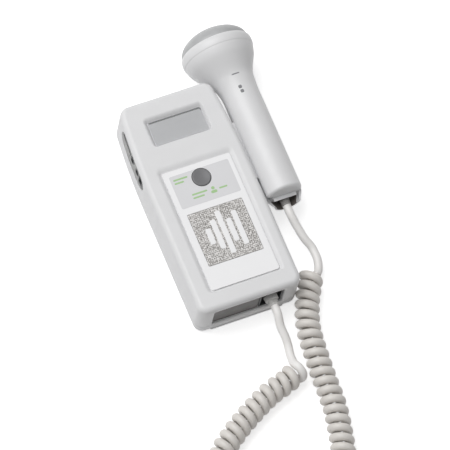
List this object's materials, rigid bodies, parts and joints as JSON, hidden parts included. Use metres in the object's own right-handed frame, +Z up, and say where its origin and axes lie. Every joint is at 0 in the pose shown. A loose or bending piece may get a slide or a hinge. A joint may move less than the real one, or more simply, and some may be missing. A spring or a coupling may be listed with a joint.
{
  "type": "fetal doppler monitor",
  "caption": "Hand-held fetal doppler monitor with display, speaker grille and power button, its round-headed probe docked along the side and joined by a curly cord.",
  "frame": {"origin": "on the surface that the unit lies on, under the centre of the box of the main unit and the docked probe, without the cord", "axes": "+Y along the unit towards its display end and the probe's face, +Z up out of the unit's face, +X towards the docked probe"},
  "size_m": [0.1434, 0.3353, 0.0471],
  "materials": {
    "case": "fine textured light warm-grey ABS",
    "label": "smooth white printed overlay",
    "grille": "perforated grey mesh with white bars",
    "button": "satin dark grey",
    "lens": "clear window",
    "display": "grey reflective display glass",
    "side_panel": "satin mid grey",
    "dark": "satin black",
    "end_panel": "satin dark grey",
    "face": "smooth grey acoustic lens",
    "boot": "grey moulded strain relief",
    "cord": "satin warm-grey jacket",
    "board": "green solder mask",
    "steel": "zinc plated",
    "cell": "plain wrapped cell",
    "cone": "black paper",
    "crystal": "ceramic"
  },
  "bodies": {
    "root": {"front_shell": "case", "rear_shell": "case", "display_lens": "lens", "display_panel": "display", "display_frame": "dark", "label_overlay": "label", "speaker_grille": "grille", "speaker_frame": "steel", "speaker_cone": "cone", "speaker_magnet": "steel", "switch_body": "dark", "main_board": "board", "side_panel": "side_panel", "volume_pot": "dark", "charge_socket": "dark", "phones_jack": "dark", "output_jack": "dark", "end_panel": "end_panel", "cord_bay": "dark", "cord_socket": "dark", "unit_strain_relief": "boot", "dock_rail": "case", "battery_1": "cell", "battery_2": "cell", "battery_3": "cell", "battery_contact_low": "steel", "battery_contact_high": "steel", "case_screw_1": "steel", "case_screw_2": "steel", "case_screw_3": "steel", "case_screw_4": "steel", "rail_screw_1": "steel", "rail_screw_2": "steel", "probe_lead": "cord", "coil_cord": "cord", "unit_lead": "cord"},
    "power_key": {"power_button": "button"},
    "switch_key": {"switch_plunger": "dark"},
    "wheel": {"volume_wheel": "button"},
    "door": {"battery_door": "case"},
    "probe": {"probe_upper_shell": "case", "probe_lower_shell": "case", "probe_face": "face", "crystal_backing": "dark", "transmit_crystal": "crystal", "receive_crystal": "crystal", "probe_board": "board", "probe_bay": "dark", "probe_strain_relief": "boot", "probe_screw_1": "steel", "probe_screw_2": "steel"}
  },
  "joints": [
    {"name": "power_press", "type": "slide", "parent": "root", "child": "power_key", "axis": [0, 0, -1], "range_m": [0, 0.0008], "stiffness_N_per_m": 600, "springref_m": -0.001},
    {"name": "switch_press", "type": "slide", "parent": "root", "child": "switch_key", "axis": [0, 0, -1], "range_m": [0, 0.0008]},
    {"name": "volume_turn", "type": "hinge", "parent": "root", "child": "wheel", "pos_m": [-0.0429, 0.0376, 0.0244], "axis": [0, 0, 1], "range_deg": [-135, 135]},
    {"name": "door_slide", "type": "slide", "parent": "root", "child": "door", "axis": [0, -1, 0], "range_m": [0, 0.008]},
    {"name": "probe_undock", "type": "slide", "parent": "root", "child": "probe", "axis": [0, 1, 0], "range_m": [0, 0.055]}
  ],
  "couplings": [
    {"joint": "switch_press", "follows": "power_press", "ratio": 1}
  ]
}
